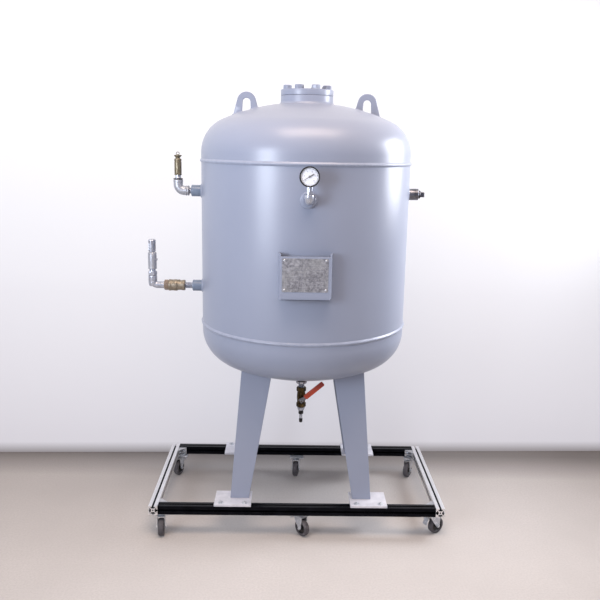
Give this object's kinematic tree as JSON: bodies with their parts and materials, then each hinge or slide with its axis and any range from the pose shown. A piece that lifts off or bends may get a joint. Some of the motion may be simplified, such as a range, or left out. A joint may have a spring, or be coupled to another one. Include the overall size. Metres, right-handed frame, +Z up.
{
  "type": "air receiver tank",
  "caption": "Upright painted steel air receiver with dished ends, plate legs, gauge, safety valve, outlet and drain valves, on a low wheeled frame of slotted rails.",
  "frame": {"origin": "on the floor, in the middle of the footprint box of the whole object", "axes": "+Z up along the vessel axis, -Y to the front where the gauge and plate are, +X to the right"},
  "size_m": [1.3334, 0.9844, 1.8985],
  "materials": {
    "vessel_paint": "satin",
    "rail_black": "satin",
    "rail_silver": "satin",
    "cast_silver": "satin",
    "zinc": "satin",
    "stainless": "gloss",
    "brass": "satin",
    "tyre": "matte",
    "black_plastic": "satin",
    "red_plastic": "satin",
    "dial_white": "matte",
    "glass": "gloss"
  },
  "bodies": {
    "receiver": {"base_plates": "vessel_paint", "bottom_head": "vessel_paint", "caster_plates": "zinc", "check_valve": "brass", "corner_brackets": "cast_silver", "coupler": "stainless", "coupler_plug": "stainless", "couplings": "vessel_paint", "drain_tail": "stainless", "drain_valve": "brass", "elbows": "stainless", "flange_cover": "vessel_paint", "flange_pad": "vessel_paint", "gauge_case": "black_plastic", "gauge_dial": "dial_white", "gauge_glass": "glass", "gauge_needle": "black_plastic", "gauge_stem": "brass", "legs": "vessel_paint", "lifting_lugs": "vessel_paint", "long_rails": "rail_black", "nameplate": "stainless", "nipples": "stainless", "plate_holder": "vessel_paint", "port_plug": "zinc", "safety_valve": "brass", "shell": "vessel_paint", "side_rails": "rail_silver", "top_head": "vessel_paint"},
    "caster_front_left": {"fork_front_left": "zinc"},
    "roller_front_left": {"wheel_front_left": "tyre"},
    "caster_front_middle": {"fork_front_middle": "zinc"},
    "roller_front_middle": {"wheel_front_middle": "tyre"},
    "caster_front_right": {"fork_front_right": "zinc"},
    "roller_front_right": {"wheel_front_right": "tyre"},
    "caster_rear_left": {"fork_rear_left": "zinc"},
    "roller_rear_left": {"wheel_rear_left": "tyre"},
    "caster_rear_middle": {"fork_rear_middle": "zinc"},
    "roller_rear_middle": {"wheel_rear_middle": "tyre"},
    "caster_rear_right": {"fork_rear_right": "zinc"},
    "roller_rear_right": {"wheel_rear_right": "tyre"},
    "lever": {"drain_lever": "zinc", "lever_sleeve": "red_plastic"}
  },
  "joints": [
    {"name": "swivel_front_left", "type": "hinge", "parent": "receiver", "child": "caster_front_left", "pos_m": [-0.57866, -0.25725, 0.09], "axis": [0, 0, 1], "continuous": true},
    {"name": "roll_front_left", "type": "hinge", "parent": "caster_front_left", "child": "roller_front_left", "pos_m": [-0.57584, -0.2841, 0.0375], "axis": [0.9945, 0.1045, 0], "continuous": true},
    {"name": "swivel_front_middle", "type": "hinge", "parent": "receiver", "child": "caster_front_middle", "pos_m": [0.01934, -0.25725, 0.09], "axis": [0, 0, 1], "continuous": true},
    {"name": "roll_front_middle", "type": "hinge", "parent": "caster_front_middle", "child": "roller_front_middle", "pos_m": [0.03669, -0.27793, 0.0375], "axis": [0.766, 0.6428, 0], "continuous": true},
    {"name": "swivel_front_right", "type": "hinge", "parent": "receiver", "child": "caster_front_right", "pos_m": [0.60534, -0.25725, 0.09], "axis": [0, 0, 1], "continuous": true},
    {"name": "roll_front_right", "type": "hinge", "parent": "caster_front_right", "child": "roller_front_right", "pos_m": [0.62824, -0.24294, 0.0375], "axis": [-0.5299, 0.848, 0], "continuous": true},
    {"name": "swivel_rear_left", "type": "hinge", "parent": "receiver", "child": "caster_rear_left", "pos_m": [-0.57866, 0.33075, 0.09], "axis": [0, 0, 1], "continuous": true},
    {"name": "roll_rear_left", "type": "hinge", "parent": "caster_rear_left", "child": "roller_rear_left", "pos_m": [-0.5879, 0.30538, 0.0375], "axis": [0.9397, -0.342, 0], "continuous": true},
    {"name": "swivel_rear_middle", "type": "hinge", "parent": "receiver", "child": "caster_rear_middle", "pos_m": [0.01734, 0.33075, 0.09], "axis": [0, 0, 1], "continuous": true},
    {"name": "roll_rear_middle", "type": "hinge", "parent": "caster_rear_middle", "child": "roller_rear_middle", "pos_m": [0.01311, 0.30408, 0.0375], "axis": [0.9877, -0.1564, 0], "continuous": true},
    {"name": "swivel_rear_right", "type": "hinge", "parent": "receiver", "child": "caster_rear_right", "pos_m": [0.60534, 0.33075, 0.09], "axis": [0, 0, 1], "continuous": true},
    {"name": "roll_rear_right", "type": "hinge", "parent": "caster_rear_right", "child": "roller_rear_right", "pos_m": [0.59184, 0.30737, 0.0375], "axis": [0.866, -0.5, 0], "continuous": true},
    {"name": "drain_lever_turn", "type": "hinge", "parent": "receiver", "child": "lever", "pos_m": [0.02834, 0.00075, 0.51815], "axis": [0, 1, 0], "range_deg": [-49, 41]}
  ]
}
